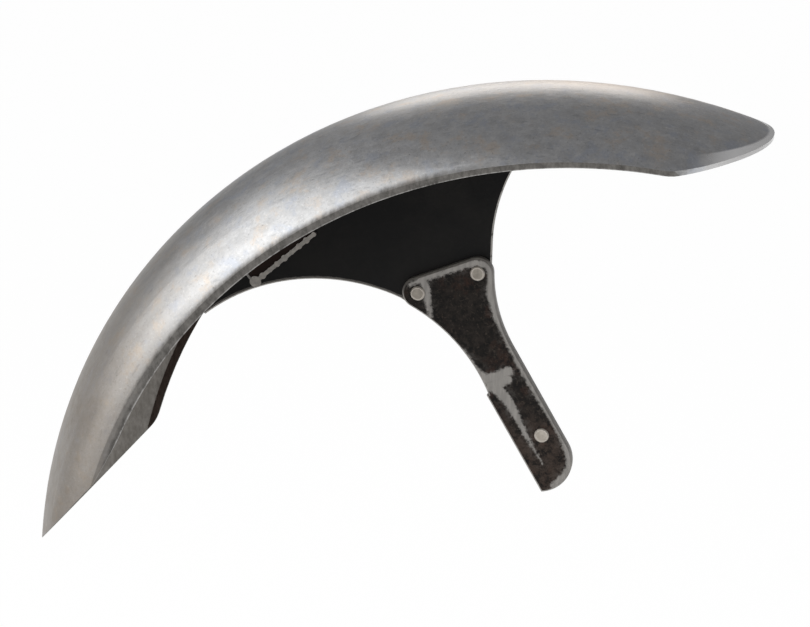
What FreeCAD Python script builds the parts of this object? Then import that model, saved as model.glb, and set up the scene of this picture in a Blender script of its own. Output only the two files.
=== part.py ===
import FreeCAD, Part
import math
import os
import re
import Sketcher

# Motorcycle mudguard of bare steel sheet with a bracket on its far side, in millimetres.
# It is drawn about the wheel's centre: +X towards the flatter end, +Y towards the bracket, +Z up.
# Placements then bring the seat of the mounting stud to the origin.

V = FreeCAD.Vector
doc = FreeCAD.newDocument("mudguard")

# Driving sizes
SIZES = {
    # sheet shell
    "ridge_radius": 350.0,
    "tail_flattening": 30.0,
    "main_sweep_angle": 95.0,
    "tail_sweep_angle": 30.0,
    "half_width": 83.5,
    "arch_depth": 46.0,
    "shoulder_radius": 32.0,
    "form_depth": 70.0,
    "sheet_gauge": 1.6,
    "lip_width": 5.2,
    # side outline of the shell
    "skirt_inset": 17.8,
    "skirt_centre_x": 27.2,
    "skirt_centre_z": -13.5,
    "tail_corner_round": 36.0,
    "tail_cut_angle": 8.0,
    "tail_tip_x": 138.8,
    # raw front end
    "front_cut_depth": 41.3,
    "front_cut_turn_angle": 73.5,
    "front_cut_angle": 48.0,
    "front_skew_angle": 3.5,
    "front_taper_depth": 47.4,
    "front_taper_turn_angle": 66.7,
    "front_taper_angle": 62.0,
    "front_corner_round": 36.0,
    # plate inside the far skirt
    "plate_clearance": 10.0,
    "plate_gauge": 3.0,
    "plate_bevel": 0.9,
    "plate_front_angle": 58.0,
    "plate_low_radius": 134.9,
    "plate_low_depth": 172.1,
    "plate_low_turn_angle": 72.2,
    "plate_dip_x": -118.0,
    "plate_heel_x": -111.0,
    "plate_heel_z": 175.0,
    "plate_foot_x": -56.0,
    "plate_foot_z": 187.0,
    "plate_side_radius": 123.3,
    "plate_side_x": -55.2,
    "plate_side_z": 217.7,
    "plate_side_drop": 58.0,
    # leg on the plate
    "leg_gauge": 5.0,
    "leg_bevel": 1.2,
    "leg_corner_radius": 10.8,
    "leg_angle": 60.4,
    "leg_bar_width": 33.0,
    "leg_end_radius": 24.0,
    "leg_end_x": -21.9,
    "leg_end_z": 70.2,
    "leg_joint_x": -57.3,
    "leg_joint_step": 1.5,
    "leg_hollow_radius": 120.0,
    # rivets and stud
    "rivet_front_x": -104.9,
    "rivet_front_z": 184.8,
    "rivet_back_x": -64.1,
    "rivet_back_z": 201.3,
    "pin_diameter": 10.0,
    "pin_proud": 1.0,
    "pin_bevel": 0.7,
    "hole_clearance": 0.3,
    "rivet_head_diameter": 17.0,
    "rivet_head_height": 3.5,
    "stud_x": -19.0,
    "stud_z": 88.1,
    "collar_diameter": 17.0,
    "collar_height": 4.0,
    "stud_length": 20.0,
    "stud_tip": 1.0,
    # strip and weld on the plate
    "strip_gauge": 2.0,
    "strip_length": 58.0,
    "strip_width": 24.0,
    "strip_overhang": 2.3,
    "bead_margin": 1.0,
    "bead_turn_angle": 20.3,
    "bead_angle": 41.4,
    "bead_length": 54.6,
    "bead_radius": 2.0,
    "blob_radius": 4.0,
    "bead_height": 2.7,
}

sheet = doc.addObject("Spreadsheet::Sheet", "sizes")
for row, (alias, value) in enumerate(SIZES.items(), start=1):
    sheet.set(f"A{row}", alias)
    sheet.set(f"B{row}", str(value))
    sheet.setAlias(f"B{row}", alias)
doc.recompute()


def size(alias):
    return float(getattr(sheet, alias))


def cells(text):
    """Puts the sheet's name before each size named in an expression."""
    return re.sub("[a-z_]+", lambda word: f"sizes.{word[0]}" if word[0] in SIZES else word[0], text)


# Sketch helpers
def new_body(name):
    return doc.addObject("PartDesign::Body", name)


def new_sketch(body, name, plane, height=None):
    sketch = body.newObject("Sketcher::SketchObject", name)
    origin = next(f for f in body.Origin.OriginFeatures if f.Role == plane)
    sketch.AttachmentSupport = [(origin, "")]
    sketch.MapMode = "FlatFace"
    if height:
        sketch.setExpression("AttachmentOffset.Base.z", cells(height))
    return sketch


def line(sketch, start, end):
    return sketch.addGeometry(Part.LineSegment(V(start[0], start[1]), V(end[0], end[1])))


def arc(sketch, centre, radius, first, last):
    """Counter-clockwise arc between two points that lie on it."""
    circle = Part.Circle(V(centre[0], centre[1]), V(0, 0, 1), radius)
    turn = [math.atan2(p[1] - centre[1], p[0] - centre[0]) for p in (first, last)]
    if turn[1] < turn[0]:
        turn[1] += 2 * math.pi
    return sketch.addGeometry(Part.ArcOfCircle(circle, *turn))


def dim(sketch, kind, refs, text):
    """Adds a dimension at its present value and binds it to the sheet."""
    value = measure(sketch, kind, refs)
    index = sketch.addConstraint(Sketcher.Constraint(kind, *refs, value))
    sketch.setExpression(f"Constraints[{index}]", cells(text))


def measure(sketch, kind, refs):
    shape = sketch.Geometry[refs[0]]
    if kind == "Radius":
        return shape.Radius
    if kind == "Angle":
        run = shape.EndPoint - shape.StartPoint
        return math.atan2(run.y, run.x)
    if kind == "Distance" and len(refs) == 1:
        return shape.length()
    if kind == "Distance":
        other = sketch.Geometry[refs[-1]]
        run = other.EndPoint - other.StartPoint
        return sketch.getPoint(refs[0], refs[1]).distanceToLine(other.StartPoint, run)
    point = sketch.getPoint(refs[-2], refs[-1])
    return point.x if kind == "DistanceX" else point.y


def place(sketch, geometry, spot, x_text, z_text):
    """Fixes a point by its two coordinates."""
    if x_text:
        dim(sketch, "DistanceX", (-1, 1, geometry, spot), x_text)
    if z_text:
        dim(sketch, "DistanceY", (-1, 1, geometry, spot), z_text)


def join(sketch, *ends):
    """Makes pairs of ends meet; each pair is (geometry, end, geometry, end)."""
    for pair in ends:
        sketch.addConstraint(Sketcher.Constraint("Coincident", *pair))


def smooth(sketch, *ends):
    for pair in ends:
        sketch.addConstraint(Sketcher.Constraint("Tangent", *pair))


def level(sketch, flat=(), upright=()):
    for geometry in flat:
        sketch.addConstraint(Sketcher.Constraint("Horizontal", geometry))
    for geometry in upright:
        sketch.addConstraint(Sketcher.Constraint("Vertical", geometry))


def pad(body, sketch, text):
    feature = body.newObject("PartDesign::Pad", body.Name + "_pad")
    feature.Profile = sketch
    feature.setExpression("Length", cells(text))
    doc.recompute()
    return feature


def bevel(body, base, names, text):
    feature = body.newObject("PartDesign::Chamfer", body.Name + "_bevel")
    feature.Base = (base, names)
    feature.setExpression("Size", cells(text))
    doc.recompute()
    return feature


def settle(item, label, x_text, y_text, z_text):
    """Names a finished piece and sets it in the object's frame."""
    item.Label = label
    for axis, text in zip("xyz", (x_text, y_text, z_text)):
        if text:
            item.setExpression(f"Placement.Base.{axis}", cells(text))


def polar(radius, degrees):
    """A point at this radius, turned from upright towards the front."""
    turn = math.radians(degrees)
    return V(-radius * math.sin(turn), radius * math.cos(turn))


def below_ridge(name):
    """A point by its depth under the ridge and its turn to the front: its place and two expressions."""
    spot = polar(size("ridge_radius") - size(f"{name}_depth"), size(f"{name}_turn_angle"))
    radius, turn = f"(ridge_radius - {name}_depth)", f"{name}_turn_angle * 1 deg"
    return spot, f"-{radius} * sin({turn})", f"{radius} * cos({turn})"


SKIRT_RADIUS = "(ridge_radius - skirt_inset)"
TAIL_TIP_Z = "(sqrt((ridge_radius + tail_flattening) ^ 2 - tail_tip_x ^ 2) - tail_flattening)"
FACE_Y = "(half_width - plate_clearance)"
SEAT_Y = f"{FACE_Y} - plate_gauge + collar_height"
FRAME = ("- stud_x", f"- ({SEAT_Y})", "- stud_z")


# Mudguard shell: an arched section turned about the wheel, trimmed by its side outline
def arch_sketch(body, inset):
    """The closed arch section above the wheel's centre; inset is 0 or the sheet's gauge."""
    gap = size("sheet_gauge") if inset else 0.0
    less = " - sheet_gauge" if inset else ""
    ridge, depth, shoulder = size("ridge_radius"), size("arch_depth"), size("shoulder_radius")
    side = size("half_width") - shoulder
    crown = (side**2 + depth**2 - shoulder**2) / (2 * (depth - shoulder))
    high, base, centre = ridge - depth, ridge - size("form_depth"), ridge - crown
    reach = (crown - gap) / math.hypot(side, high - centre)
    meet = (side * reach, centre + (high - centre) * reach)
    edge = size("half_width") - gap
    sketch = new_sketch(body, body.Name + "_arch", "YZ_Plane")
    right = arc(sketch, (side, high), shoulder - gap, (edge, high), meet)
    top = arc(sketch, (0, centre), crown - gap, meet, (-meet[0], meet[1]))
    left = arc(sketch, (-side, high), shoulder - gap, (-meet[0], meet[1]), (-edge, high))
    skirt = line(sketch, (-edge, high), (-edge, base))
    floor = line(sketch, (-edge, base), (edge, base))
    other = line(sketch, (edge, base), (edge, high))
    axis = line(sketch, (-edge, -size("tail_flattening")), (edge, -size("tail_flattening")))
    peak = sketch.addGeometry(Part.Point(V(0, ridge - gap, 0)))
    for spare in (axis, peak):
        sketch.setConstruction(spare, True)
    smooth(sketch, (right, 2, top, 1), (top, 2, left, 1), (left, 2, skirt, 1), (other, 2, right, 1))
    join(sketch, (skirt, 2, floor, 1), (floor, 2, other, 1))
    level(sketch, flat=(floor, axis), upright=(skirt, other))
    sketch.addConstraint(Sketcher.Constraint("PointOnObject", peak, 1, top))
    sketch.addConstraint(Sketcher.Constraint("PointOnObject", peak, 1, -2))
    place(sketch, peak, 1, None, f"ridge_radius{less}")
    place(sketch, right, 3, "half_width - shoulder_radius", "ridge_radius - arch_depth")
    place(sketch, left, 3, "shoulder_radius - half_width", "ridge_radius - arch_depth")
    dim(sketch, "Radius", (right,), f"shoulder_radius{less}")
    dim(sketch, "Radius", (left,), f"shoulder_radius{less}")
    place(sketch, floor, 1, None, "ridge_radius - form_depth")
    place(sketch, axis, 1, "- half_width", "- tail_flattening")
    place(sketch, axis, 2, "half_width", None)
    return sketch


def outline_sketch(body):
    """What the side outline takes away: the skirt's arc, the rounded corner and the tail cut."""
    radius, round_off = size("ridge_radius") - size("skirt_inset"), size("tail_corner_round")
    centre = V(size("skirt_centre_x"), size("skirt_centre_z"))
    tail = math.radians(size("tail_cut_angle"))
    flattening, spare = size("tail_flattening"), size("form_depth")
    tip_x = size("tail_tip_x")
    tip = V(tip_x, math.sqrt((size("ridge_radius") + flattening) ** 2 - tip_x**2) - flattening)
    end = tip + V(spare, spare * math.tan(tail))
    start = centre + V(-math.sqrt(radius**2 - spare**2), -spare)
    # the rounded corner touches the skirt's circle from outside and the tail cut from above
    along, up = V(math.cos(tail), math.sin(tail)), V(-math.sin(tail), math.cos(tail))
    rise = (tip - centre).dot(up) + round_off
    turn = centre + up * rise + along * math.sqrt((radius + round_off) ** 2 - rise**2)
    leave = centre + (turn - centre) * (radius / (radius + round_off))
    land = turn - up * round_off
    low = -size("ridge_radius")
    sketch = new_sketch(body, body.Name + "_outline", "XZ_Plane")
    skirt = arc(sketch, centre, radius, leave, start)
    bend = arc(sketch, turn, round_off, leave, land)
    tail_cut = line(sketch, land, end)
    back = line(sketch, end, V(end.x, low))
    floor = line(sketch, V(end.x, low), V(start.x, low))
    face = line(sketch, V(start.x, low), start)
    mark = sketch.addGeometry(Part.Point(tip))
    sketch.setConstruction(mark, True)
    join(sketch, (face, 2, skirt, 2), (tail_cut, 2, back, 1), (back, 2, floor, 1), (floor, 2, face, 1))
    smooth(sketch, (skirt, 1, bend, 1), (bend, 2, tail_cut, 1))
    level(sketch, flat=(floor,), upright=(back, face))
    sketch.addConstraint(Sketcher.Constraint("PointOnObject", mark, 1, tail_cut))
    place(sketch, mark, 1, "tail_tip_x", TAIL_TIP_Z)
    place(sketch, skirt, 3, "skirt_centre_x", "skirt_centre_z")
    dim(sketch, "Radius", (skirt,), SKIRT_RADIUS)
    dim(sketch, "Radius", (bend,), "tail_corner_round")
    dim(sketch, "Angle", (tail_cut,), "tail_cut_angle * 1 deg")
    place(sketch, skirt, 2, None, "skirt_centre_z - form_depth")
    place(sketch, tail_cut, 2, "tail_tip_x + form_depth", None)
    place(sketch, floor, 1, None, "- ridge_radius")
    return sketch


def front_sketch(body):
    """What the raw front cut takes away, drawn beside the near skirt: the end line and a taper."""
    cut_turn, taper_turn = math.radians(size("front_cut_angle")), math.radians(size("front_taper_angle"))
    on_cut, cut_x, cut_z = below_ridge("front_cut")
    on_taper, taper_x, taper_z = below_ridge("front_taper")
    slopes = math.tan(cut_turn), math.tan(taper_turn)
    rise = on_taper.y - on_cut.y - slopes[1] * (on_taper.x - on_cut.x)
    kink = on_cut + V(1, slopes[0]) * (rise / (slopes[0] - slopes[1]))
    start = on_cut - V(1, slopes[0]) * (2 * size("form_depth"))
    end = on_taper + V(1, slopes[1]) * size("lip_width")
    low = -size("ridge_radius")
    sketch = new_sketch(body, body.Name + "_front_line", "XZ_Plane", "half_width + lip_width")
    cut = line(sketch, start, kink)
    taper = line(sketch, kink, end)
    back = line(sketch, end, V(end.x, low))
    floor = line(sketch, V(end.x, low), V(start.x, low))
    face = line(sketch, V(start.x, low), start)
    for name, side, spot, x_text, z_text in (("front_cut", cut, on_cut, cut_x, cut_z),
                                             ("front_taper", taper, on_taper, taper_x, taper_z)):
        mark = sketch.addGeometry(Part.Point(spot))
        sketch.setConstruction(mark, True)
        sketch.addConstraint(Sketcher.Constraint("PointOnObject", mark, 1, side))
        place(sketch, mark, 1, x_text, z_text)
        dim(sketch, "Angle", (side,), f"{name}_angle * 1 deg")
    join(sketch, (cut, 2, taper, 1), (taper, 2, back, 1), (back, 2, floor, 1), (floor, 2, face, 1),
         (face, 2, cut, 1))
    level(sketch, flat=(floor,), upright=(back, face))
    place(sketch, cut, 1, f"{cut_x} - 2 * form_depth", None)
    place(sketch, taper, 2, f"{taper_x} + lip_width", None)
    place(sketch, floor, 1, None, "- ridge_radius")
    return sketch


def is_skin(face):
    """True for the arched faces and the upright sides."""
    return isinstance(face.Surface, Part.Toroid) or abs(face.normalAt(0, 0).y) > 0.9


def is_trim(face):
    """True for the faces that the side outline left: both arcs and the tail cut."""
    return isinstance(face.Surface, Part.Cylinder) or face.BoundBox.XMin > 0 and not is_skin(face)


def lip_edges(shape):
    """Edges where the skin meets the side outline."""
    names = []
    for number, edge in enumerate(shape.Edges, start=1):
        sides = [f for f in shape.Faces if any(edge.isSame(other) for other in f.Edges)]
        if any(is_trim(f) for f in sides) and any(is_skin(f) for f in sides):
            names.append(f"Edge{number}")
    return names


def is_raw_cut(face):
    """True for the flat faces that the front cut left across the sheet."""
    return isinstance(face.Surface, Part.Plane) and face.BoundBox.XMax < 0 and not is_skin(face)


def corner_edges(shape):
    """Edges across the width where the raw front end meets the side outline."""
    names = []
    for number, edge in enumerate(shape.Edges, start=1):
        sides = [f for f in shape.Faces if any(edge.isSame(other) for other in f.Edges)]
        if any(is_raw_cut(f) for f in sides) and any(isinstance(f.Surface, Part.Cylinder) for f in sides):
            names.append(f"Edge{number}")
    return names


def trim(body, name, sketch, both_ways):
    feature = body.newObject("PartDesign::Pocket", name)
    feature.Profile = sketch
    feature.Type = "ThroughAll"
    feature.Midplane = both_ways
    return feature


def form(name, inset, lip_text):
    """A solid form of the mudguard, its lower edges bevelled where the sheet has its lip."""
    body = new_body(name)
    arch = arch_sketch(body, inset)
    for part, axis, text, turned_back in (("main", "H_Axis", "main_sweep_angle", True),
                                          ("tail", "Axis0", "tail_sweep_angle", False)):
        sweep = body.newObject("PartDesign::Revolution", f"{name}_{part}")
        sweep.Profile = arch
        sweep.ReferenceAxis = (arch, [axis])
        sweep.setExpression("Angle", cells(text))
        sweep.Reversed = turned_back
        doc.recompute()
    sides = trim(body, f"{name}_trim", outline_sketch(body), True)
    doc.recompute()
    bevel(body, sides, lip_edges(sides.Shape), lip_text)
    # the front cut runs a little askew, so the near skirt is the shorter one
    front = trim(body, f"{name}_front", front_sketch(body), False)
    front.UseCustomVector = True
    front.Direction = V(0, 1, 0)
    front.setExpression("Direction.x", cells("sin(front_cut_angle * 1 deg) * tan(front_skew_angle * 1 deg)"))
    front.setExpression("Direction.z", cells("-cos(front_cut_angle * 1 deg) * tan(front_skew_angle * 1 deg)"))
    doc.recompute()
    corner = body.newObject("PartDesign::Fillet", f"{name}_corner")
    corner.Base = (front, corner_edges(front.Shape))
    corner.setExpression("Radius", cells("front_corner_round"))
    doc.recompute()
    return body


outer = form("outer_form", False, "lip_width")
inner = form("inner_form", True, "lip_width + sheet_gauge * (sqrt(2) - 1)")
shell = doc.addObject("Part::Cut", "mudguard_shell")
shell.Base, shell.Tool = outer, inner
settle(shell, "mudguard_shell", *FRAME)


def hole(sketch, x_text, z_text):
    """A round hole for a rivet or the stud."""
    spot = V(size(x_text), size(z_text))
    ring = sketch.addGeometry(Part.Circle(spot, V(0, 0, 1), size("pin_diameter") / 2))
    place(sketch, ring, 3, x_text, z_text)
    dim(sketch, "Radius", (ring,), "(pin_diameter + hole_clearance) / 2")


def rim_edges(shape, y):
    """Straight and curved edges of the outline on the face at y, without the round holes."""
    names = []
    for number, edge in enumerate(shape.Edges, start=1):
        flat = abs(edge.BoundBox.YMin - y) < 0.01 and abs(edge.BoundBox.YMax - y) < 0.01
        if flat and not edge.isClosed():
            names.append(f"Edge{number}")
    return names


# Bracket plate: flat black plate standing inside the far skirt, its top edge against the arch
TOP_RADIUS = ("ridge_radius - arch_depth + sqrt((shoulder_radius - sheet_gauge) ^ 2"
              " - (shoulder_radius - plate_clearance) ^ 2)")


def plate_sketch(body):
    reach = size("shoulder_radius") - size("plate_clearance")
    inside = size("shoulder_radius") - size("sheet_gauge")
    top_radius = size("ridge_radius") - size("arch_depth") + math.sqrt(inside**2 - reach**2)
    ray = polar(1, size("plate_front_angle"))
    front_top = ray * top_radius
    low, low_x, low_z = below_ridge("plate_low")
    low_radius = size("plate_low_radius")
    near = low.dot(ray)
    front_low = ray * (near + math.sqrt(near**2 - low.dot(low) + low_radius**2))
    dip_x = size("plate_dip_x")
    dip = V(dip_x, low.y + math.sqrt(low_radius**2 - (dip_x - low.x) ** 2))
    heel = V(size("plate_heel_x"), size("plate_heel_z"))
    foot = V(size("plate_foot_x"), size("plate_foot_z"))
    side_radius, side = size("plate_side_radius"), V(size("plate_side_x"), size("plate_side_z"))
    middle = side + V(side_radius, 0)
    rise = size("ridge_radius") - size("plate_side_drop") - side.y
    side_top = V(middle.x - math.sqrt(side_radius**2 - rise**2), side.y + rise)
    back_top = V(side_top.x, math.sqrt(top_radius**2 - side_top.x**2))
    sketch = new_sketch(body, "plate_outline", "XZ_Plane", f"- {FACE_Y}")
    top = arc(sketch, V(0, 0), top_radius, back_top, front_top)
    front = line(sketch, front_top, front_low)
    lower = arc(sketch, low, low_radius, dip, front_low)
    slope = line(sketch, dip, heel)
    under = line(sketch, heel, foot)
    rise_up = line(sketch, foot, side)
    flank = arc(sketch, middle, side_radius, side_top, side)
    upright = line(sketch, side_top, back_top)
    join(sketch, (top, 2, front, 1), (front, 2, lower, 2), (lower, 1, slope, 1), (slope, 2, under, 1),
         (under, 2, rise_up, 1), (rise_up, 2, flank, 2), (flank, 1, upright, 1), (upright, 2, top, 1))
    level(sketch, upright=(upright,))
    sketch.addConstraint(Sketcher.Constraint("Coincident", top, 3, -1, 1))
    dim(sketch, "Radius", (top,), TOP_RADIUS)
    dim(sketch, "Angle", (front,), "plate_front_angle * 1 deg - 90 deg")
    place(sketch, top, 2, f"- ({TOP_RADIUS}) * sin(plate_front_angle * 1 deg)", None)
    place(sketch, lower, 3, low_x, low_z)
    dim(sketch, "Radius", (lower,), "plate_low_radius")
    place(sketch, lower, 1, "plate_dip_x", None)
    place(sketch, under, 1, "plate_heel_x", "plate_heel_z")
    place(sketch, under, 2, "plate_foot_x", "plate_foot_z")
    place(sketch, flank, 2, "plate_side_x", "plate_side_z")
    place(sketch, flank, 3, None, "plate_side_z")
    dim(sketch, "Radius", (flank,), "plate_side_radius")
    place(sketch, flank, 1, None, "ridge_radius - plate_side_drop")
    hole(sketch, "rivet_front_x", "rivet_front_z")
    hole(sketch, "rivet_back_x", "rivet_back_z")
    return sketch


plate = new_body("bracket_plate")
plate_pad = pad(plate, plate_sketch(plate), "plate_gauge")
plate_inner_y = size("half_width") - size("plate_clearance") - size("plate_gauge")
bevel(plate, plate_pad, rim_edges(plate_pad.Shape, plate_inner_y), "plate_bevel")
settle(plate, "bracket_plate", *FRAME)


# Bracket leg: trapezoid head and square-ended bar, butt-welded and ground to one flat leg
def leg_sketch(body):
    corner, slope = size("leg_corner_radius"), math.radians(size("leg_angle"))
    fore = V(size("rivet_front_x"), size("rivet_front_z"))
    aft = V(size("rivet_back_x"), size("rivet_back_z"))
    run = (aft - fore).normalize()
    over = V(-run.y, run.x) * corner
    end, end_radius = V(size("leg_end_x"), size("leg_end_z")), size("leg_end_radius")
    down, out = V(math.cos(slope), -math.sin(slope)), V(math.sin(slope), math.cos(slope))
    touch = end + out * end_radius
    inset = end_radius - size("leg_bar_width")
    tip = end + out * inset + down * math.sqrt(end_radius**2 - inset**2)
    joint = tip - down * ((tip.x - size("leg_joint_x")) / down.x)
    step = joint + out * size("leg_joint_step")
    # waist arc: upright where it leaves the corner, then along the bar's edge
    shoulder = aft + V(corner, 0)
    waist = (shoulder - touch).dot(out) / (1 - out.x)
    waist_centre = shoulder + V(waist, 0)
    # hollow arc: from the step to the front corner, which it touches from outside
    hollow, span = size("leg_hollow_radius"), fore - step
    far = span.Length
    part = (hollow**2 - (hollow + corner) ** 2 + far**2) / (2 * far)
    span.normalize()
    aside = V(-span.y, span.x) * math.sqrt(hollow**2 - part**2)
    hollow_centre = min((step + span * part + aside, step + span * part - aside), key=lambda spot: spot.y)
    kiss = fore + (hollow_centre - fore) * (corner / (hollow + corner))
    sketch = new_sketch(body, "leg_outline", "XZ_Plane", f"plate_gauge - {FACE_Y}")
    corner_aft = arc(sketch, aft, corner, shoulder, aft + over)
    top = line(sketch, aft + over, fore + over)
    corner_fore = arc(sketch, fore, corner, fore + over, kiss)
    inner_arc = arc(sketch, hollow_centre, hollow, step, kiss)
    notch = line(sketch, joint, step)
    left = line(sketch, tip, joint)
    foot = arc(sketch, end, end_radius, tip, touch)
    right = line(sketch, waist_centre - out * waist, touch)
    waist_arc = arc(sketch, waist_centre, waist, shoulder, waist_centre - out * waist)
    smooth(sketch, (corner_aft, 2, top, 1), (top, 2, corner_fore, 1), (corner_fore, 2, inner_arc, 2),
           (corner_aft, 1, waist_arc, 1), (waist_arc, 2, right, 1), (right, 2, foot, 2))
    join(sketch, (foot, 1, left, 1), (left, 2, notch, 1), (notch, 2, inner_arc, 1))
    place(sketch, corner_aft, 3, "rivet_back_x", "rivet_back_z")
    place(sketch, corner_fore, 3, "rivet_front_x", "rivet_front_z")
    place(sketch, foot, 3, "leg_end_x", "leg_end_z")
    for ring, text in ((corner_aft, "leg_corner_radius"), (corner_fore, "leg_corner_radius"),
                       (foot, "leg_end_radius"), (inner_arc, "leg_hollow_radius")):
        dim(sketch, "Radius", (ring,), text)
    dim(sketch, "Angle", (right,), "- leg_angle * 1 deg")
    sketch.addConstraint(Sketcher.Constraint("Horizontal", corner_aft, 3, corner_aft, 1))
    sketch.addConstraint(Sketcher.Constraint("Parallel", left, right))
    sketch.addConstraint(Sketcher.Constraint("Perpendicular", notch, left))
    dim(sketch, "Distance", (right, 2, left), "leg_bar_width")
    dim(sketch, "Distance", (notch,), "leg_joint_step")
    place(sketch, left, 2, "leg_joint_x", None)
    for x_text, z_text in (("rivet_front_x", "rivet_front_z"), ("rivet_back_x", "rivet_back_z"),
                           ("stud_x", "stud_z")):
        hole(sketch, x_text, z_text)
    return sketch


leg = new_body("bracket_leg")
leg_pad = pad(leg, leg_sketch(leg), "leg_gauge")
bevel(leg, leg_pad, rim_edges(leg_pad.Shape, plate_inner_y - size("leg_gauge")), "leg_bevel")
settle(leg, "bracket_leg", *FRAME)


# Turned pieces: the rivets that hold the leg to the plate, and the stud at the leg's end
def turned(name, corners):
    """A body turned about its own Y axis; each corner is (place along the axis, radius)."""
    body = new_body(name)
    sketch = new_sketch(body, name + "_profile", "YZ_Plane")
    # a rough start; the dimensions below set every corner
    rough = [V(5 * number, 0 if radius == "0" else 5) for number, (_, radius) in enumerate(corners)]
    edges = [line(sketch, a, b) for a, b in zip(rough, rough[1:] + rough[:1])]
    for number, edge in enumerate(edges):
        join(sketch, (edge, 2, edges[(number + 1) % len(edges)], 1))
        along, radius = corners[number]
        place(sketch, edge, 1, along, None)
        if radius == "0":
            sketch.addConstraint(Sketcher.Constraint("PointOnObject", edge, 1, -1))
        else:
            place(sketch, edge, 1, None, radius)
    spin = body.newObject("PartDesign::Revolution", name + "_spin")
    spin.Profile = sketch
    spin.ReferenceAxis = (sketch, ["H_Axis"])
    spin.Angle = 360
    return body


DEPTH_IN_LEG = "leg_gauge + plate_gauge + pin_proud"
RIVET = (
    (f"- ({DEPTH_IN_LEG})", "0"),
    (f"- ({DEPTH_IN_LEG})", "pin_diameter / 2 - pin_bevel"),
    (f"pin_bevel - ({DEPTH_IN_LEG})", "pin_diameter / 2"),
    ("0", "pin_diameter / 2"),
    ("0", "rivet_head_diameter / 2"),
    ("rivet_head_height", "rivet_head_diameter / 2"),
    ("rivet_head_height", "0"),
)
rivets = []
for end in ("front", "back"):
    rivet = turned(f"rivet_{end}", RIVET)
    settle(rivet, f"rivet_{end}", f"rivet_{end}_x - stud_x", f"{FACE_Y} - ({SEAT_Y})",
           f"rivet_{end}_z - stud_z")
    rivets.append(rivet)
leg_rivets = doc.addObject("Part::Compound", "leg_rivets")
leg_rivets.Links = rivets
leg_rivets.Label = "leg_rivets"

STUD = (
    ("- (collar_height + leg_gauge + pin_proud)", "0"),
    ("- (collar_height + leg_gauge + pin_proud)", "pin_diameter / 2 - pin_bevel"),
    ("pin_bevel - (collar_height + leg_gauge + pin_proud)", "pin_diameter / 2"),
    ("- collar_height", "pin_diameter / 2"),
    ("- collar_height", "collar_diameter / 2"),
    ("0", "collar_diameter / 2"),
    ("0", "pin_diameter / 2"),
    ("stud_length", "pin_diameter / 2"),
    ("stud_length + stud_tip", "pin_diameter / 2 - stud_tip"),
    ("stud_length + stud_tip", "0"),
)
stud = turned("mount_stud", STUD)
stud.Label = "mount_stud"


# The weld starts above the plate's lower edge, clear of it by the blob's radius and a margin
low_spot, LOW_X, LOW_Z = below_ridge("plate_low")
BEAD_REACH = "(plate_low_radius + blob_radius + bead_margin)"
BEAD_X = f"({LOW_X} - {BEAD_REACH} * sin(bead_turn_angle * 1 deg))"
BEAD_Z = f"({LOW_Z} + {BEAD_REACH} * cos(bead_turn_angle * 1 deg))"
bead_start = low_spot + polar(size("plate_low_radius") + size("blob_radius") + size("bead_margin"),
                              size("bead_turn_angle"))


# Gusset strip: short flat bar lapped on the plate's inner face, its lower edge under the weld
def strip_sketch(body):
    turn = math.radians(size("bead_angle"))
    along, up = V(math.cos(turn), math.sin(turn)), V(-math.sin(turn), math.cos(turn))
    start = bead_start - along * size("strip_overhang")
    spots = [start, start + along * size("strip_length")]
    spots += [spots[1] + up * size("strip_width"), start + up * size("strip_width")]
    sketch = new_sketch(body, "strip_outline", "XZ_Plane", f"plate_gauge - {FACE_Y}")
    edges = [line(sketch, a, b) for a, b in zip(spots, spots[1:] + spots[:1])]
    join(sketch, *((edges[i], 2, edges[(i + 1) % 4], 1) for i in range(4)))
    for side, other in ((0, 1), (1, 2), (2, 3)):
        sketch.addConstraint(Sketcher.Constraint("Perpendicular", edges[side], edges[other]))
    dim(sketch, "Angle", (edges[0],), "bead_angle * 1 deg")
    dim(sketch, "Distance", (edges[0],), "strip_length")
    dim(sketch, "Distance", (edges[1],), "strip_width")
    place(sketch, edges[0], 1, f"{BEAD_X} - strip_overhang * cos(bead_angle * 1 deg)",
          f"{BEAD_Z} - strip_overhang * sin(bead_angle * 1 deg)")
    return sketch


strip = new_body("gusset_strip")
pad(strip, strip_sketch(strip), "strip_gauge")
settle(strip, "gusset_strip", *FRAME)

# Weld bead: flattened run over the strip's lower edge, uneven, with a wide blob where it was started
DROPS = 9
core = doc.addObject("Part::Box", "bead_core")
for name, text in (("Length", "bead_length"), ("Width", "bead_height"), ("Height", "1.4 * bead_radius")):
    core.setExpression(name, cells(text))
core.Placement = FreeCAD.Placement(V(0, 0, 0), FreeCAD.Rotation(V(0, 1, 0), -size("bead_angle")))
settle(core, "bead_core", f"{BEAD_X} + 0.7 * bead_radius * sin(bead_angle * 1 deg) - stud_x",
       "- collar_height - bead_height", f"{BEAD_Z} - 0.7 * bead_radius * cos(bead_angle * 1 deg) - stud_z")
drops = []
for number in range(DROPS):
    share = number / (DROPS - 1)
    swell = 1 + 0.16 * math.sin(17 * share)
    drop = doc.addObject("Part::Cylinder", f"bead_drop_{number}")
    drop.setExpression("Radius", cells(f"bead_radius * {swell:.2f}" if number else "blob_radius"))
    drop.setExpression("Height", cells("bead_height"))
    drop.Placement = FreeCAD.Placement(V(0, 0, 0), FreeCAD.Rotation(V(1, 0, 0), 90))
    reach = f"{share:.4f} * bead_length"
    settle(drop, drop.Name, f"{BEAD_X} + {reach} * cos(bead_angle * 1 deg) - stud_x", "- collar_height",
           f"{BEAD_Z} + {reach} * sin(bead_angle * 1 deg) - stud_z")
    drops.append(drop)
run = doc.addObject("Part::MultiFuse", "bead_run")
run.Shapes = [core] + drops
run.Refine = True
bead = doc.addObject("Part::Cut", "weld_bead")
bead.Base, bead.Tool = run, strip
bead.Label = "weld_bead"

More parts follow.
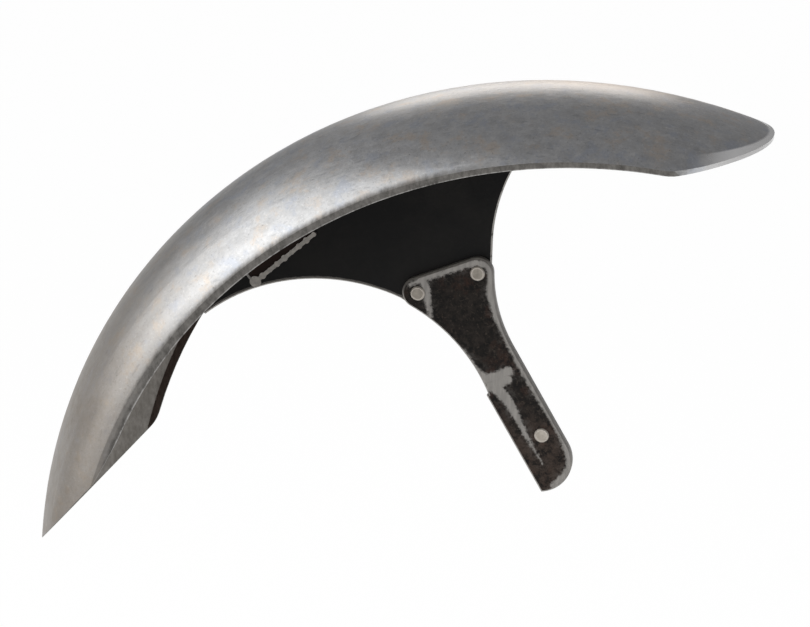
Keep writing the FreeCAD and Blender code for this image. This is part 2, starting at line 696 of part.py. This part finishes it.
# Check every feature, then write one file for each piece
doc.recompute()
for item in doc.Objects:
    if {"Invalid", "Error"} & set(item.State):
        raise RuntimeError(f"{item.Name}: {item.State}")
os.makedirs("parts", exist_ok=True)
for item in (shell, plate, strip, bead, leg, leg_rivets, stud):
    if item.Shape.isNull() or not item.Shape.isValid():
        raise RuntimeError(f"{item.Label}: shape is not valid")
    item.Shape.exportStep(f"parts/{item.Label}.step")
    print(item.Label, len(item.Shape.Solids), round(item.Shape.Volume, 1))
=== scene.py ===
import math

import bmesh
import bpy
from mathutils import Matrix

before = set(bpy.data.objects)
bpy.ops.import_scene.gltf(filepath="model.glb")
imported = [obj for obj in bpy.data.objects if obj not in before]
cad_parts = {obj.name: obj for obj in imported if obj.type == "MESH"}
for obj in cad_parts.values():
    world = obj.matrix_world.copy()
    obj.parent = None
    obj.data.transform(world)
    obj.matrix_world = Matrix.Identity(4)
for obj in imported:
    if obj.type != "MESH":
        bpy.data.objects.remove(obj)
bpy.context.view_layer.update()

# Mudguard shell: one bare steel sheet, rolled and pressed to an arch, with a lip bent inwards
# round its lower edge. It is left unpainted, so it is scuffed along its length and dulled by
# handling. It is darker and brown at the raw front end, partly old oil and partly painted
# shade, and has a faint, warm painted highlight on the crown.


class Value:
    """A shader socket, so that formulas can be written as plain Python expressions."""

    def __init__(self, tree, socket=None):
        self.tree, self.socket = tree, socket

    def node(self, kind, settings=None, output=0, **inputs):
        """Adds any node: settings first, then values or links for its named or numbered inputs."""
        made = self.tree.nodes.new(kind)
        for name, value in (settings or {}).items():
            setattr(made, name, value)
        for name, value in inputs.items():
            numbered = name[0] == "i" and name[1:].isdigit()
            key = int(name[1:]) if numbered else name.replace("_", " ")
            if isinstance(value, Value):
                self.tree.links.new(value.socket, made.inputs[key])
            else:
                made.inputs[key].default_value = value
        return Value(self.tree, made.outputs[output])

    def math(self, operation, *others):
        inputs = {f"i{number}": value for number, value in enumerate((self,) + others)}
        return self.node("ShaderNodeMath", {"operation": operation}, **inputs)

    def __add__(self, other):
        return self.math("ADD", other)

    def __sub__(self, other):
        return self.math("SUBTRACT", other)

    def __mul__(self, other):
        return self.math("MULTIPLY", other)

    def __truediv__(self, other):
        return self.math("DIVIDE", other)

    def __rsub__(self, other):
        return (self * -1) + other

    __radd__, __rmul__ = __add__, __mul__

    def most(self, other):
        return self.math("MAXIMUM", other)

    def least(self, other):
        return self.math("MINIMUM", other)

    def rise(self, low, high):
        """Smooth step from 0 at low to 1 at high; low may be the greater."""
        return self.node("ShaderNodeMapRange", {"interpolation_type": "SMOOTHSTEP"},
                         Value=self, From_Min=low, From_Max=high)

    def noise(self, scale, detail, roughness, stretch=(1, 1, 1), turn=(0, 0, 0)):
        """Noise of this vector, 0 to 1 about 0.5; stretch multiplies its coordinates."""
        spot = self.node("ShaderNodeMapping", Vector=self, Scale=stretch, Rotation=turn)
        return self.node("ShaderNodeTexNoise", Vector=spot, Scale=scale, Detail=detail,
                         Roughness=roughness)

    def mix(self, low, high):
        """Colour between two, this value being the share of the second."""
        return self.node("ShaderNodeMix", {"data_type": "RGBA"}, 2, i0=self, i6=low, i7=high)


def new_material(name):
    """A plain node material: returns it, its object coordinates and its surface node."""
    made = bpy.data.materials.new(name)
    made.use_nodes = True
    tree = made.node_tree
    place = Value(tree).node("ShaderNodeTexCoord", output="Object")
    return made, place, tree.nodes["Principled BSDF"]


def parts_of(vector):
    """The x, y and z of a vector; those of a place are in metres."""
    split = vector.node("ShaderNodeSeparateXYZ", Vector=vector).socket.node
    return [Value(vector.tree, output) for output in split.outputs]


def facing(place):
    """The x, y and z of the face's own normal."""
    return parts_of(place.node("ShaderNodeNewGeometry", output="True Normal"))


def span(run, climb):
    """Length of the slope with this run and this climb."""
    return (run * run + climb * climb).math("SQRT")


def finish_surface(place, surface, colour, rough, metal, bump, depth, **fixed):
    """Links what varies into the surface node and sets the rest; depth is the bump's, in metres."""
    lift = place.node("ShaderNodeBump", Strength=1.0, Distance=depth, Height=bump)
    wanted = {"Base Color": colour, "Roughness": rough, "Metallic": metal, "Normal": lift}
    for name, value in wanted.items():
        if isinstance(value, Value):
            place.tree.links.new(value.socket, surface.inputs[name])
        else:
            surface.inputs[name].default_value = value
    for name, value in fixed.items():
        surface.inputs[name.replace("_", " ")].default_value = value


def grey(level, warm=0.0):
    """A grey of this level, warmed towards brown by a small share."""
    return (level * (1 + warm), level, level * (1 - 1.3 * warm), 1)


def dress(node, material):
    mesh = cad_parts[node].data
    mesh.materials.clear()
    mesh.materials.append(material)


# sizes in metres: the wheel's centre and the sheet's middle plane in the part's frame, and the
# rest from the wheel's centre, negative towards the front
WHEEL_X, WHEEL_Z = 0.019, -0.0881
MIDDLE_Y = -0.0745
ROLLED_RADIUS = 0.35
SKIRT_X, SKIRT_Z, SKIRT_RADIUS = 0.0272, -0.0135, 0.3322
TAIL_CUT_X, TAIL_CUT_Z = 0.1388, 0.3237
TAIL_CUT_RUN, TAIL_CUT_CLIMB = 0.9903, 0.1392
TAIL_BAND_TAPER = 0.112
SHELL_BUMP = 0.00018

# pairs of where a mark starts and where it is full: along the sheet, across it for the side of
# the crown's painted highlight, and as heights above the skirts' edge or the tail's cut
TAIL, FRONT, OILED_AND_SHADED = (0.085, 0.115), (-0.24, -0.30), (-0.18, -0.32)
CROWN_HIGHLIGHT_FRONT, CROWN_HIGHLIGHT_BACK, CROWN_HIGHLIGHT_SIDE = (-0.07, 0.01), (0.10, 0.04), (-0.09, -0.05)
BENT, FOLDED = (-0.01, -0.08), (0.02, 0.06)
INSIDE_HEIGHT, BEND_HEIGHT, FRONT_LIP_HEIGHT = (0.005, 0.0065), (0.0088, 0.0050), (0.0015, 0.0035)
FOLD_LOW, FOLD_HIGH, CUT_EDGE_HEIGHT = (0.0042, 0.0046), (0.0054, 0.0050), (0.0008, 0.0003)
TAIL_BAND_HEIGHT = (0.0098, 0.0090)
BEND_RAG, FRONT_BEND_DROP = 0.002, 0.003

SHEET_DARK, SHEET_LIGHT = grey(0.44), grey(0.62)
WARM_TINT, BLUE_TINT = (0.61, 0.53, 0.45, 1), (0.45, 0.48, 0.54, 1)
SPECK_DARK, SPECK_LIGHT = grey(0.24, 0.02), grey(0.80, 0.01)
NICK_BLUE, PIT_GREY = (0.22, 0.225, 0.245, 1), grey(0.18, 0.05)
OIL_AND_SHADE_BROWN, CROWN_HIGHLIGHT = (0.182, 0.148, 0.112, 1), (0.66, 0.55, 0.45, 1)
LIP_SHADE_DARK, LIP_SHADE_LIGHT = grey(0.085, 0.06), grey(0.20, 0.05)
TAIL_HIGHLIGHT_PALE, RUBBED_AND_HIGHLIGHT_GREY = grey(0.94, 0.01), grey(0.5, 0.02)
INSIDE_DARK, INSIDE_LIGHT = grey(0.15, 0.08), grey(0.24, 0.06)
LIP_TOP_BROWN_DARK, LIP_TOP_BROWN_LIGHT = (0.12, 0.085, 0.07, 1), (0.22, 0.165, 0.14, 1)

shell_steel, place, surface = new_material("bare_sheet")
x, y, z = parts_of(place)
across, up = x - WHEEL_X, z - WHEEL_Z
radius = span(across, up)
face_x, face_y, face_z = facing(place)
outward = (face_x * across + face_z * up) / radius

# coordinates that follow the roll of the sheet, so that scuffs run along it
rolled = across.math("ARCTAN2", up) * ROLLED_RADIUS
lengthways = place.node("ShaderNodeCombineXYZ", X=rolled, Y=y, Z=radius)
grain = lengthways.noise(scale=1100, detail=3, roughness=0.6, stretch=(0.12, 1, 1))
scuffs = lengthways.noise(scale=170, detail=6, roughness=0.7, stretch=(0.45, 1, 1))
nicks = lengthways.noise(scale=260, detail=3, roughness=0.6, stretch=(0.3, 1, 1),
                         turn=(0.3, 0.5, 0.4)).rise(0.62, 0.7)
speckle = place.noise(scale=620, detail=4, roughness=0.75)
hammer = place.noise(scale=150, detail=6, roughness=0.7)
clouds = place.noise(scale=16, detail=5, roughness=0.6)
tint = place.noise(scale=60, detail=6, roughness=0.7)
pits = place.noise(scale=460, detail=2, roughness=0.5).rise(0.70, 0.78)

# bare sheet, uneven in tone and in warmth, with specks, nicks and pits
tone = clouds * 0.25 + hammer * 0.4 + scuffs * 0.35
steel = tone.rise(0.34, 0.66).mix(SHEET_DARK, SHEET_LIGHT)
steel = (tint.rise(0.52, 0.66) * 0.65).mix(steel, WARM_TINT)
steel = (tint.rise(0.48, 0.34) * 0.65).mix(steel, BLUE_TINT)
steel = (speckle.rise(0.45, 0.3) * 0.45).mix(steel, SPECK_DARK)
steel = (speckle.rise(0.55, 0.68) * 0.4).mix(steel, SPECK_LIGHT)
steel = (nicks * 0.3).mix(steel, NICK_BLUE)
steel = (pits * 0.5).mix(steel, PIT_GREY)

# old oil and handling at the raw front end, which also darken it there as painted shade; a warm,
# pale painted highlight on the crown
oil_and_shade = across.rise(*OILED_AND_SHADED) * (clouds * 0.6 + hammer * 0.5 + 0.3).least(1.0)
crown_highlight = across.rise(*CROWN_HIGHLIGHT_FRONT) * across.rise(*CROWN_HIGHLIGHT_BACK) * y.rise(*CROWN_HIGHLIGHT_SIDE)
steel = (oil_and_shade * 0.9).mix(steel, OIL_AND_SHADE_BROWN)
steel = (crown_highlight * 0.5).mix(steel, CROWN_HIGHLIGHT)

# where things are: heights above the skirts' edge and above the tail's cut, the tail's and the
# front's share, the lip's underside, and the inside of the sheet
edge = span(across - SKIRT_X, up - SKIRT_Z) - SKIRT_RADIUS
tail_height = (up - TAIL_CUT_Z) * TAIL_CUT_RUN - (across - TAIL_CUT_X) * TAIL_CUT_CLIMB
tail_height = tail_height + (across - TAIL[0]) * TAIL_BAND_TAPER
tail = across.rise(*TAIL)
front = across.rise(*FRONT)
lip = outward.rise(-0.12, -0.35)
inner = (face_y * (y - MIDDLE_Y)).rise(-0.01, -0.03).most(lip * edge.rise(*INSIDE_HEIGHT))

# painted shade on the lip and on the bend above it, in ragged dark blotches, thinner near the front
rag = place.noise(scale=330, detail=5, roughness=0.7, stretch=(1, 0.4, 0.4))
blotches = rag.rise(0.25, 0.75)
bend_shade = (edge + front * FRONT_BEND_DROP + (rag - 0.5) * BEND_RAG).rise(*BEND_HEIGHT)
bend_shade = (1 - lip) * bend_shade * across.rise(*BENT)
lip_shade = lip * (1 - tail) * (1 - front * edge.rise(*FRONT_LIP_HEIGHT) * 0.8)
steel = lip_shade.most(bend_shade * 0.9).mix(steel, blotches.mix(LIP_SHADE_DARK, LIP_SHADE_LIGHT))

# round the flatter end the lip and a band above it are painted pale as a highlight, and are smooth
tail_band_highlight = (1 - lip) * tail * tail_height.rise(*TAIL_BAND_HEIGHT)
tail_highlight = (tail * lip).most(tail_band_highlight)
steel = tail_highlight.mix(steel, TAIL_HIGHLIGHT_PALE)

# the inside is darker, and brown and less metallic on the upper side of the lip
lip_top_brown = inner * outward.rise(0.2, 0.5)
steel = inner.mix(steel, blotches.mix(INSIDE_DARK, INSIDE_LIGHT))
steel = lip_top_brown.mix(steel, blotches.mix(LIP_TOP_BROWN_DARK, LIP_TOP_BROWN_LIGHT))

# the cut edge of the lip is rubbed bright, and the fold towards the tail carries a painted
# highlight
crease_highlight = edge.rise(*FOLD_LOW) * edge.rise(*FOLD_HIGH) * across.rise(*FOLDED)
rubbed_edge_and_crease_highlight = edge.rise(*CUT_EDGE_HEIGHT).most(crease_highlight) * lip
steel = (rubbed_edge_and_crease_highlight * rag.rise(0.3, 0.6) * 0.7).mix(steel, RUBBED_AND_HIGHLIGHT_GREY)

dull = lip.most(inner) * (1 - tail)
shell_rough = 0.24 + scuffs * 0.12 + hammer * 0.12 + oil_and_shade * 0.06 + dull * 0.1 - tail_highlight * 0.2
finish_surface(place, surface, colour=steel, rough=shell_rough,
               metal=1 - lip_top_brown * 0.9 - tail_band_highlight * 0.8,
               bump=grain * 0.4 + scuffs * 0.35 + hammer * 0.65 - pits * 0.4, depth=SHELL_BUMP)
dress("mudguard_shell", shell_steel)

# Bracket plate: flat hot-rolled plate, still in its black mill scale, standing inside the far
# skirt. Its cut edges were ground to a bright narrow bevel, and its lower arc was filed.
PLATE_ARC_X, PLATE_ARC_Z, PLATE_ARC_RADIUS = -0.1504, -0.0337, 0.1349
FILED_HEIGHT, FILED_RAG = (0.0024, 0.0018), 0.0012
PLATE_SHADE_FADE = (0.19, 0.10)
BEVEL_FACING = (0.97, 0.85)
PLATE_BUMP = 0.00012
SCALE_BLACK, SCALE_WORN = (0.0075, 0.0075, 0.008, 1), (0.025, 0.0235, 0.022, 1)
DUST_BROWN, SCALE_OUT_OF_SHADE = (0.030, 0.027, 0.024, 1), (0.023, 0.0225, 0.022, 1)
FILED_GREY, BEVEL_BRIGHT = grey(0.22, 0.06), grey(0.42, 0.05)

plate_scale, place, surface = new_material("black_plate")
x, _, z = parts_of(place)
face_y = facing(place)[1]
arc_height = span(x - PLATE_ARC_X, z - PLATE_ARC_Z) - PLATE_ARC_RADIUS
bevel = face_y.math("ABSOLUTE").rise(*BEVEL_FACING)
blotch = place.noise(scale=22, detail=6, roughness=0.65)
dust = place.noise(scale=260, detail=3, roughness=0.6)
filed = (arc_height + (dust - 0.5) * FILED_RAG).rise(*FILED_HEIGHT)
scale = blotch.rise(0.35, 0.7).mix(SCALE_BLACK, SCALE_WORN)
scale = (dust.rise(0.6, 0.75) * 0.35).mix(scale, DUST_BROWN)
# painted shade: the plate is darker at the top, under the shell, and lighter lower down
scale = (z.rise(*PLATE_SHADE_FADE) * 0.55).mix(scale, SCALE_OUT_OF_SHADE)
scale = filed.mix(scale, FILED_GREY)
finish_surface(place, surface, colour=(bevel * dust.rise(0.2, 0.5)).mix(scale, BEVEL_BRIGHT),
               rough=0.6 + blotch * 0.15 - bevel * 0.15, metal=bevel * 0.7,
               bump=dust, depth=PLATE_BUMP, Specular_IOR_Level=0.2)
dress("bracket_plate", plate_scale)

# Gusset strip: a short steel bar lapped on the plate and welded to it, red-brown with primer
# and scale. Its sawn edges are bare metal, with a bright burr along the end.
SAWN_X, SAWN_Z = -0.2006, 0.096
STRIP_RUN, STRIP_CLIMB = 0.75, 0.66
SAW_BURR = (0.0018, 0.0012)
SIDE_FACING = (-0.9, -0.5)
STRIP_BUMP = 0.0001
PRIMER_DARK, PRIMER_LIGHT = (0.012, 0.006, 0.004, 1), (0.026, 0.012, 0.008, 1)
SAWN_BRIGHT = grey(0.46, 0.03)

strip_brown, place, surface = new_material("brown_strip")
x, _, z = parts_of(place)
face_y = facing(place)[1]
from_saw_cut = (x - SAWN_X) * STRIP_RUN + (z - SAWN_Z) * STRIP_CLIMB
sawn = face_y.rise(*SIDE_FACING).most(from_saw_cut.rise(*SAW_BURR))
stain = place.noise(scale=90, detail=4, roughness=0.6)
brown = stain.rise(0.3, 0.7).mix(PRIMER_DARK, PRIMER_LIGHT)
finish_surface(place, surface, colour=sawn.mix(brown, SAWN_BRIGHT), rough=0.6 + stain * 0.2,
               metal=sawn * 0.4, bump=stain, depth=STRIP_BUMP, Specular_IOR_Level=0.25)
dress("gusset_strip", strip_brown)

# Weld bead: a run of weld metal laid over the strip's lower edge, which holds the strip to the
# plate. Its face was flattened and left bare and pale, and its sides are dark with soot.
BEAD_BUMP = 0.0004
WELD_DARK, WELD_LIGHT, WELD_SOOT = grey(0.42, 0.06), grey(0.60, 0.06), grey(0.03, 0.05)

weld_pale, place, surface = new_material("weld_metal")
sides = facing(place)[1].rise(*SIDE_FACING)
lumps = place.noise(scale=320, detail=4, roughness=0.6)
face = lumps.rise(0.3, 0.7).mix(WELD_DARK, WELD_LIGHT)
finish_surface(place, surface, colour=(sides * 0.85).mix(face, WELD_SOOT),
               rough=0.5 + lumps * 0.2, metal=0.35, bump=lumps, depth=BEAD_BUMP)
dress("weld_bead", weld_pale)

# Bracket leg: thicker flat leg of hot-rolled steel, a head and a bar welded end to end. The weld
# and the edges were ground bright; the rest keeps its dark scale, mottled with rust.
GROUND_EDGE, GROUND_RAG, GROUND_SPECKLE = (-0.0011, 0.0011), 0.003, 0.0045
DUST_REACH, DUST_RAG = (-0.006, 0.001), 0.012
LEG_LIT_FOOT = (0.03, -0.01)
LEG_BUMP = 0.00025
LEG_DARK, LEG_LIGHT = (0.005, 0.0045, 0.004, 1), (0.040, 0.032, 0.027, 1)
LEG_RUST, LEG_SPECK = (0.062, 0.031, 0.022, 1), (0.105, 0.082, 0.066, 1)
FOOT_LIT_BROWN, GRINDING_DUST = (0.13, 0.09, 0.07, 1), grey(0.11, 0.05)
GROUND_DARK, GROUND_LIGHT = grey(0.32, 0.05), grey(0.42, 0.05)

# where the grinder went, as lines of (x, z, half width) in millimetres on the leg's inner face
GROUND_LINES = (
    ((-91.5, 102.5, 1.2), (-80, 108, 2.2), (-53, 118.6, 2.2), (-45, 121, 2.2),
     (-38.5, 119, 2.6), (-35.2, 113, 2.6)),
    ((-35.2, 113, 2.6), (-36, 100, 3.0), (-32, 83.7, 2.6), (-16, 50.6, 2.3),
     (4, 17.6, 2.5), (13.5, 2, 2.5)),
    ((13.5, 2, 2.5), (19, -12.5, 2.2), (18.8, -23, 2.0), (12.7, -34, 2.0)),
    ((-82.6, 107, 2.8), (-80, 100, 2.6), (-79, 92, 2.4), (-77, 81, 1.3)),
    ((-54, 58, 0.4), (-46, 46, 1.6), (-39, 38, 3.0)),
    ((-39, 38, 3.2), (-30.8, 41, 3.6), (-23, 45, 3.2)),
    ((-36, 32.5, 3.6), (-31, 35, 4.4), (-24, 39, 3.2)),
    ((-31.6, 32.4, 4.2), (-24, 24, 3.4), (-17.4, 12.7, 2.5), (-11.6, 0.9, 1.7),
     (-4, -12.5, 0.6), (1, -21, 0.1)),
    ((9, -36, 2.4), (17, -28, 2.2)),
)
MILLIMETRE = 0.001

leg_scale, place, surface = new_material("scaled_leg")
x, _, z = parts_of(place)
face_y = facing(place)[1]


def streak(start, end):
    """How far inside a tapering streak a point of the surface lies, in metres."""
    x0, z0, wide = (MILLIMETRE * number for number in start)
    x1, z1, wide_end = (MILLIMETRE * number for number in end)
    run_x, run_z = x1 - x0, z1 - z0
    square = run_x * run_x + run_z * run_z
    share = (x - x0) * (run_x / square) + (z - z0) * (run_z / square)
    share = share.least(1.0).most(0.0)
    away = span(x - x0 - share * run_x, z - z0 - share * run_z)
    return share * (wide_end - wide) + wide - away


worn = None
for line in GROUND_LINES:
    for start, end in zip(line, line[1:]):
        inside = streak(start, end)
        worn = worn.most(inside) if worn else inside

mottle = place.noise(scale=190, detail=6, roughness=0.75)
rust = place.noise(scale=60, detail=6, roughness=0.7)
specks = place.noise(scale=520, detail=3, roughness=0.7)
ragged = place.noise(scale=380, detail=5, roughness=0.75)
brushed = place.noise(scale=420, detail=3, roughness=0.6, stretch=(1, 1, 0.15), turn=(0, 0.5, 0))
rim = face_y.math("ABSOLUTE").rise(*BEVEL_FACING)
inner_face = face_y.rise(0.5, -0.5)
ground = worn + (ragged - 0.5) * GROUND_RAG + (specks - 0.5) * GROUND_SPECKLE
ground = (ground.rise(*GROUND_EDGE) * inner_face).most(rim)
scale = mottle.rise(0.36, 0.66).mix(LEG_DARK, LEG_LIGHT)
scale = (rust.rise(0.5, 0.66) * mottle.rise(0.36, 0.56) * 0.85).mix(scale, LEG_RUST)
scale = (specks.rise(0.56, 0.68) * 0.55).mix(scale, LEG_SPECK)
# painted light: lower down the leg, out of the shell's shadow, the scale is mottled a lighter brown
scale = (z.rise(*LEG_LIT_FOOT) * mottle.rise(0.35, 0.6) * 0.5).mix(scale, FOOT_LIT_BROWN)
dusty = ((ragged - 0.5) * DUST_RAG + worn).rise(*DUST_REACH) * mottle.rise(0.45, 0.65)
scale = (dusty * 0.6).mix(scale, GRINDING_DUST)
bare = brushed.rise(0.3, 0.7).mix(GROUND_DARK, GROUND_LIGHT)
finish_surface(place, surface, colour=ground.mix(scale, bare),
               rough=0.62 + mottle * 0.15 - ground * 0.2, metal=ground * 0.5,
               bump=mottle * 0.6 + specks * 0.3 - ground * 0.5, depth=LEG_BUMP,
               Specular_IOR_Level=0.25)
dress("bracket_leg", leg_scale)

# Rivets and stud: steel pins cut off flat on the inner side of the leg, dull and faintly
# stained, with a ragged painted highlight round each end. The stud, below, is painted lighter,
# as it is out of the shell's shadow, and the rivets above are painted darker as shade.
PINS = ((-0.0859, 0.0967), (-0.0451, 0.1132), (0.0, 0.0))
RIM_HIGHLIGHT_RADIUS, RIM_HIGHLIGHT_RAG = (0.0034, 0.0040), 0.0012
STUD_BELOW = (0.06, 0.03)
PIN_BUMP = 0.00015
RIVET_SHADED_DARK, RIVET_SHADED_LIGHT = grey(0.30, 0.12), grey(0.46, 0.10)
STUD_LIT_DARK, STUD_LIT_LIGHT = grey(0.46, 0.11), grey(0.66, 0.09)
RIM_HIGHLIGHT_BRIGHT = grey(0.72, 0.08)

pin_steel, place, surface = new_material("cut_pins")
x, _, z = parts_of(place)
reach = None
for pin_x, pin_z in PINS:
    far = span(x - pin_x, z - pin_z)
    reach = reach.least(far) if reach else far
stains = place.noise(scale=240, detail=5, roughness=0.65)
stained = stains.rise(0.3, 0.7)
# painted highlight: bright and ragged, from just inside the rim of each pin end outwards
rim_highlight = (reach + (stains - 0.5) * RIM_HIGHLIGHT_RAG).rise(*RIM_HIGHLIGHT_RADIUS)
lit_stud = z.rise(*STUD_BELOW)
# painted light and shade: the stud, lower down, is lighter than the rivets above
cut_face = lit_stud.mix(stained.mix(RIVET_SHADED_DARK, RIVET_SHADED_LIGHT), stained.mix(STUD_LIT_DARK, STUD_LIT_LIGHT))
finish_surface(place, surface, colour=(rim_highlight * 0.8).mix(cut_face, RIM_HIGHLIGHT_BRIGHT),
               rough=0.45 + stains * 0.15, metal=0.5, bump=stains, depth=PIN_BUMP)
dress("leg_rivets", pin_steel)
dress("mount_stud", pin_steel)

# Stage: a wide matt white floor well below the hung part, lit by three soft lamps and a dim
# grey room. The floor shows white to the camera and in reflections, and keeps a faint shadow.
FLOOR_Z, FLOOR_HALF = -0.75, 12
FLOOR_GLOW, FLOOR_GLOW_SHARE = 1.02, 0.96
WHITE = (1, 1, 1, 1)

sheet = bmesh.new()
bmesh.ops.create_grid(sheet, x_segments=1, y_segments=1, size=FLOOR_HALF)
bmesh.ops.translate(sheet, vec=(0, 0, FLOOR_Z), verts=sheet.verts)
mesh = bpy.data.meshes.new("floor")
sheet.to_mesh(mesh)
sheet.free()
floor = bpy.data.objects.new("floor", mesh)
bpy.context.collection.objects.link(floor)

floor_white, place, surface = new_material("floor_white")
surface.inputs["Base Color"].default_value = (0.9, 0.9, 0.9, 1)
surface.inputs["Roughness"].default_value = 0.9
seen = place.node("ShaderNodeLightPath", output="Is Camera Ray")
for kind in ("Is Glossy Ray", "Is Transmission Ray"):
    seen = seen.most(place.node("ShaderNodeLightPath", output=kind))
glow = place.node("ShaderNodeEmission", Color=WHITE, Strength=FLOOR_GLOW)
matt = Value(place.tree, surface.outputs[0])
blend = place.node("ShaderNodeMixShader", i0=seen * FLOOR_GLOW_SHARE, i1=matt, i2=glow)
place.tree.links.new(blend.socket, place.tree.nodes["Material Output"].inputs["Surface"])
mesh.materials.append(floor_white)

world = bpy.data.worlds.new("studio")
bpy.context.scene.world = world
world.use_nodes = True
room = world.node_tree.nodes["Background"]
room.inputs["Color"].default_value = (0.26, 0.26, 0.265, 1)
room.inputs["Strength"].default_value = 1.0

LIT_SPOT = (-0.08, -0.075, 0.105)
LAMP_DISTANCE = 2.2


def lamp(name, azimuth, elevation, width, height, watts, colour=(1, 1, 1)):
    """A soft lamp aimed at the part, at this azimuth (0 is the near side) and elevation."""
    light = bpy.data.lights.new(name, "AREA")
    light.shape, light.size, light.size_y = "RECTANGLE", width, height
    light.energy, light.color = watts, colour
    made = bpy.data.objects.new(name, light)
    turn, climb = math.radians(azimuth), math.radians(elevation)
    flat = math.cos(climb)
    way = (math.sin(turn) * flat, -math.cos(turn) * flat, math.sin(climb))
    made.location = [spot + LAMP_DISTANCE * step for spot, step in zip(LIT_SPOT, way)]
    made.rotation_euler = (math.pi / 2 - climb, 0, turn)
    bpy.context.collection.objects.link(made)


lamp("key", azimuth=-72, elevation=26, width=4.0, height=2.0, watts=32)
lamp("low", azimuth=-42, elevation=7, width=1.8, height=1.2, watts=7)
lamp("back", azimuth=-171, elevation=16, width=0.9, height=0.5, watts=3.6, colour=(1, 0.95, 0.9))

# the camera stands at the photograph's angle, with a long lens
CAMERA_SPOT = (0.25738, -1.90139, 0.73596)
CAMERA_DOWN, CAMERA_TURN = 18.770, 10.537
camera = bpy.data.objects.new("camera", bpy.data.cameras.new("camera"))
camera.data.lens = 133.333
camera.data.sensor_width = 36
camera.data.clip_end = 100
camera.location = CAMERA_SPOT
camera.rotation_euler = (math.radians(90 - CAMERA_DOWN), 0, math.radians(CAMERA_TURN))
bpy.context.collection.objects.link(camera)
bpy.context.scene.camera = camera
bpy.context.scene.view_settings.view_transform = "Standard"
